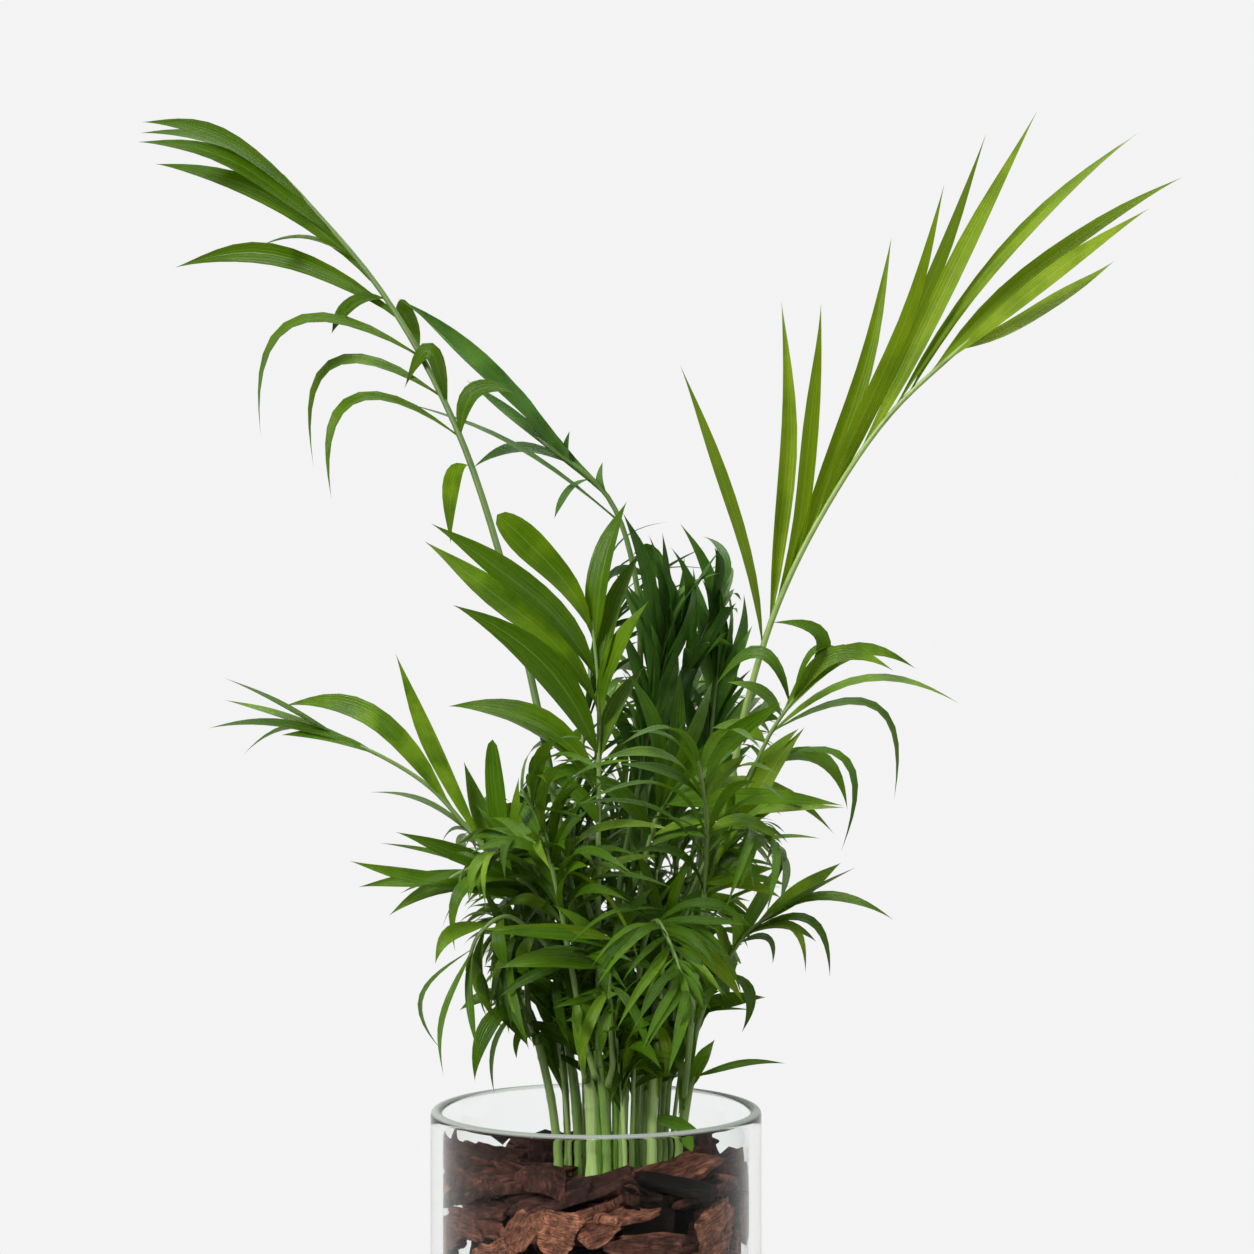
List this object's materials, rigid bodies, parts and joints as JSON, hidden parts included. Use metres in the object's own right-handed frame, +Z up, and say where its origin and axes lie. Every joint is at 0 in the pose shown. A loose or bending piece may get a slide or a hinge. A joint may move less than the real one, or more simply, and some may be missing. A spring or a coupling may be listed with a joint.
{
  "type": "parlour palm",
  "caption": "Parlour palm: slender stems with arching feather fronds of narrow leaflets, in a straight clear glass vase filled with bark chips.",
  "frame": {"origin": "centre of the vase's flat underside", "axes": "+Z up along the vase's axis, -Y towards the viewer of the picture, +X to that viewer's right"},
  "size_m": [0.4808, 0.3692, 0.6509],
  "materials": {
    "clear_glass": "polished clear",
    "bark": "rough, dry",
    "stem_green": "satin",
    "leaf_bright_green": "satin",
    "leaf_green": "satin",
    "leaf_dark_green": "satin"
  },
  "bodies": {
    "root": {"bark_chips": "bark", "frond_back_crown_1": "leaf_dark_green", "frond_back_crown_2": "leaf_dark_green", "frond_back_crown_3": "leaf_dark_green", "frond_back_high_1": "leaf_green", "frond_back_high_2": "leaf_green", "frond_back_high_3": "leaf_green", "frond_back_high_4": "leaf_green", "frond_back_middle_1": "leaf_green", "frond_back_middle_2": "leaf_green", "frond_back_middle_3": "leaf_green", "frond_back_skirt_1": "leaf_green", "frond_back_skirt_2": "leaf_green", "frond_centre_broad": "leaf_green", "frond_centre_dark": "leaf_dark_green", "frond_centre_right": "leaf_dark_green", "frond_front_high_1": "leaf_green", "frond_front_high_2": "leaf_green", "frond_front_high_3": "leaf_green", "frond_front_left": "leaf_green", "frond_front_middle_1": "leaf_green", "frond_front_middle_2": "leaf_green", "frond_front_right": "leaf_bright_green", "frond_front_skirt_1": "leaf_green", "frond_front_skirt_2": "leaf_green", "frond_left_drooping": "leaf_green", "frond_left_low": "leaf_green", "frond_left_lowest": "leaf_green", "frond_left_middle": "leaf_green", "frond_right_arching": "leaf_green", "frond_right_behind": "leaf_green", "frond_right_level": "leaf_green", "frond_right_low": "leaf_green", "frond_right_lowest": "leaf_green", "frond_right_short": "leaf_green", "frond_upper_left": "leaf_green", "frond_upper_middle": "leaf_green", "frond_upper_right": "leaf_bright_green", "glass_vase": "clear_glass", "stem_back": "stem_green", "stem_back_left": "stem_green", "stem_back_right": "stem_green", "stem_far_right": "stem_green", "stem_front": "stem_green", "stem_front_right": "stem_green", "stem_left": "stem_green", "stem_left_back": "stem_green", "stem_left_middle": "stem_green", "stem_middle": "stem_green", "stem_middle_back": "stem_green", "stem_middle_right": "stem_green", "stem_right": "stem_green", "stem_thick": "stem_green"}
  },
  "joints": []
}
